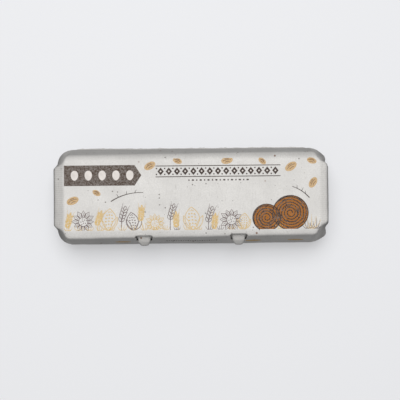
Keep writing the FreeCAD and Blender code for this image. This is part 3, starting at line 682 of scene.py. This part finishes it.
def lay_ink(name, colour, shapes, layer, ray):
    """A closed film of ink: the shapes, fine enough to bend with the pulp, put where a ray meets the lid."""
    film = bmesh.new()
    for shape in shapes:
        film.faces.new([film.verts.new((x * MM, y * MM, 0)) for x, y in shape])
    bmesh.ops.remove_doubles(film, verts=film.verts, dist=WELD)
    bmesh.ops.triangulate(film, faces=film.faces)
    for _ in range(INK_CUTS):
        wide = [edge for edge in film.edges if edge.calc_length() > INK_STEP]
        if not wide:
            break
        bmesh.ops.subdivide_edges(film, edges=wide, cuts=1)
        bmesh.ops.triangulate(film, faces=film.faces)
    lost = []
    for vertex in film.verts:
        place, normal, _, _ = surface.ray_cast(*ray(vertex.co))
        if place is None:
            lost.append(vertex)
        else:
            vertex.co = place + normal * (INK_LIFT + INK_LAYER * layer)
    bmesh.ops.delete(film, geom=lost, context="VERTS")
    bmesh.ops.recalc_face_normals(film, faces=film.faces)
    bmesh.ops.solidify(film, geom=film.faces, thickness=INK_THICKNESS)
    bmesh.ops.recalc_face_normals(film, faces=film.faces)
    piece = put_form(name, film)
    piece.data.materials.append(ink_materials[colour])
    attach(piece, "lid")


ABOVE_LID = panel_level + 20 * MM
BEFORE_LID = -80 * MM


def from_above(point):
    return Vector((point.x, point.y, ABOVE_LID)), Vector((0, 0, -1))


def from_front(point):
    return Vector((point.x, BEFORE_LID, point.y)), Vector((0, 1, 0))


for (colour, layer), shapes in inks.items():
    lay_ink(f"print_{colour}_{layer}", colour, shapes, layer, from_above)
for colour, shapes in front_inks.items():
    lay_ink(f"front_print_{colour}", colour, shapes, 1, from_front)

# ---------------------------------------------------------------------------------------------------------------
# The fold: the strip of pulp that joins the tray's rim to the lid's along the back, moulded with them and crushed
# into a thin uneven bead when the carton is closed.
# ---------------------------------------------------------------------------------------------------------------
FOLD_HALF_LENGTH = 124 * MM
FOLD_HALF_HEIGHT = 1.5 * MM
FOLD_BULGE, FOLD_DEPTH = 0.9 * MM, 0.5 * MM
FOLD_SIDES, FOLD_STEPS = 8, 165
FOLD_WAVE, FOLD_LUMP = 9 * MM, 4 * MM
# The waves and the lumps along the fold are read from the noise along these two lines.
WAVE_LINE, LUMP_LINE = (3.1, 7.7), (11.3, 1.9)
FOLD_TAPER, FOLD_TIP = 3 * MM, 0.15

fold = bmesh.new()
bmesh.ops.create_cone(fold, cap_ends=True, segments=FOLD_SIDES, radius1=1, radius2=1, depth=2 * FOLD_HALF_LENGTH)
along = [edge for edge in fold.edges if abs(edge.verts[0].co.z - edge.verts[1].co.z) > FOLD_HALF_LENGTH]
bmesh.ops.subdivide_edges(fold, edges=along, cuts=FOLD_STEPS - 1)
for vertex in fold.verts:
    out, up, x = vertex.co
    uneven = noise.noise(Vector((x / FOLD_WAVE, *WAVE_LINE)))
    lump = max(noise.noise(Vector((x / FOLD_LUMP, *LUMP_LINE))) - 0.2, 0)
    bulge = FOLD_BULGE * (0.75 + 0.5 * uneven + 1.6 * lump)
    near_end = min(1, (FOLD_HALF_LENGTH - abs(x)) / FOLD_TAPER + FOLD_TIP)
    reach = out * (bulge * near_end if out > 0 else FOLD_DEPTH)
    vertex.co = settle(Vector((x, back_line + reach, rim_level + FOLD_HALF_HEIGHT * near_end * up)))
bmesh.ops.recalc_face_normals(fold, faces=fold.faces)
for face in fold.faces:
    face.smooth = True
fold_piece = put_form("fold", fold)
fold_piece.data.materials.append(tray_pulp.material)
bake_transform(fold_piece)

# ---------------------------------------------------------------------------------------------------------------
# Floor, light and camera: a pale painted table under a large soft lamp, in a white room, seen from nearly straight
# above. The table and the room are shown paler than they light the carton.
# ---------------------------------------------------------------------------------------------------------------
TABLE_SIZE = 6
TABLE_ROOM = 0.1 * MM
TABLE_COLOUR = shade(166, 167, 170)
TABLE_BOUNCE = shade(150, 152, 156)
TABLE_GLOW, TABLE_GLOW_COLOUR = 0.386, shade(254, 254, 255)
TABLE_ROUGHNESS, TABLE_GLOSS = 0.9, 0.5

ground = bmesh.new()
bmesh.ops.create_grid(ground, x_segments=1, y_segments=1, size=TABLE_SIZE / 2)
bmesh.ops.translate(ground, verts=ground.verts, vec=(0, 0, -TABLE_ROOM))
floor = put_form("table", ground)
paint = Finish("table_paint", TABLE_ROUGHNESS, TABLE_GLOSS)
seen = paint.node("LightPath").outputs["Is Camera Ray"]
paint.feed(paint.blend(seen, TABLE_BOUNCE, TABLE_COLOUR), "Base Color")
paint.feed(paint.product(seen, TABLE_GLOW), "Emission Strength")
paint.shader.inputs["Emission Color"].default_value = TABLE_GLOW_COLOUR
floor.data.materials.append(paint.material)

ROOM_LIGHT, ROOM_SHOWN = 0.33, 0.86
room = bpy.data.worlds.new("room")
room.use_nodes = True
walls = room.node_tree.nodes["Background"]
walls.inputs["Color"].default_value = (1, 1, 1, 1)
room_seen = room.node_tree.nodes.new("ShaderNodeLightPath").outputs["Is Camera Ray"]
room_light = room.node_tree.nodes.new("ShaderNodeMapRange")
room_light.inputs["To Min"].default_value = ROOM_LIGHT
room_light.inputs["To Max"].default_value = ROOM_SHOWN
room.node_tree.links.new(room_seen, room_light.inputs["Value"])
room.node_tree.links.new(room_light.outputs["Result"], walls.inputs["Strength"])
bpy.context.scene.world = room

WINDOW_PLACE = Vector((-0.06, 0.46, 1.87))
WINDOW_SIZE = 1.1
WINDOW_WATTS = 33.5
window_light = bpy.data.lights.new("window", "AREA")
window_light.shape = "DISK"
window_light.size = WINDOW_SIZE
window_light.energy = WINDOW_WATTS
window = put("window", window_light)
window.location = WINDOW_PLACE
window.rotation_euler = (-WINDOW_PLACE).to_track_quat("-Z", "Y").to_euler()

LENS = 78.4
SENSOR = 36
CAMERA_PLACE = Vector((0.004, -0.0347, panel_level + 0.912))
CAMERA_AIM = Vector((0.0094, -0.0049, 0.055))
CAMERA_ROLL = math.radians(-0.58)
camera_data = bpy.data.cameras.new("camera")
camera_data.lens = LENS
camera_data.sensor_width = SENSOR
camera = put("camera", camera_data)
look = (CAMERA_PLACE - CAMERA_AIM).normalized()
right = Vector((0, 1, 0)).cross(look).normalized()
facing = Matrix((right, look.cross(right), look)).transposed() @ Matrix.Rotation(CAMERA_ROLL, 3, "Z")
camera.matrix_world = Matrix.Translation(CAMERA_PLACE) @ facing.to_4x4()
bpy.context.scene.camera = camera
bpy.context.scene.view_settings.view_transform = "Standard"
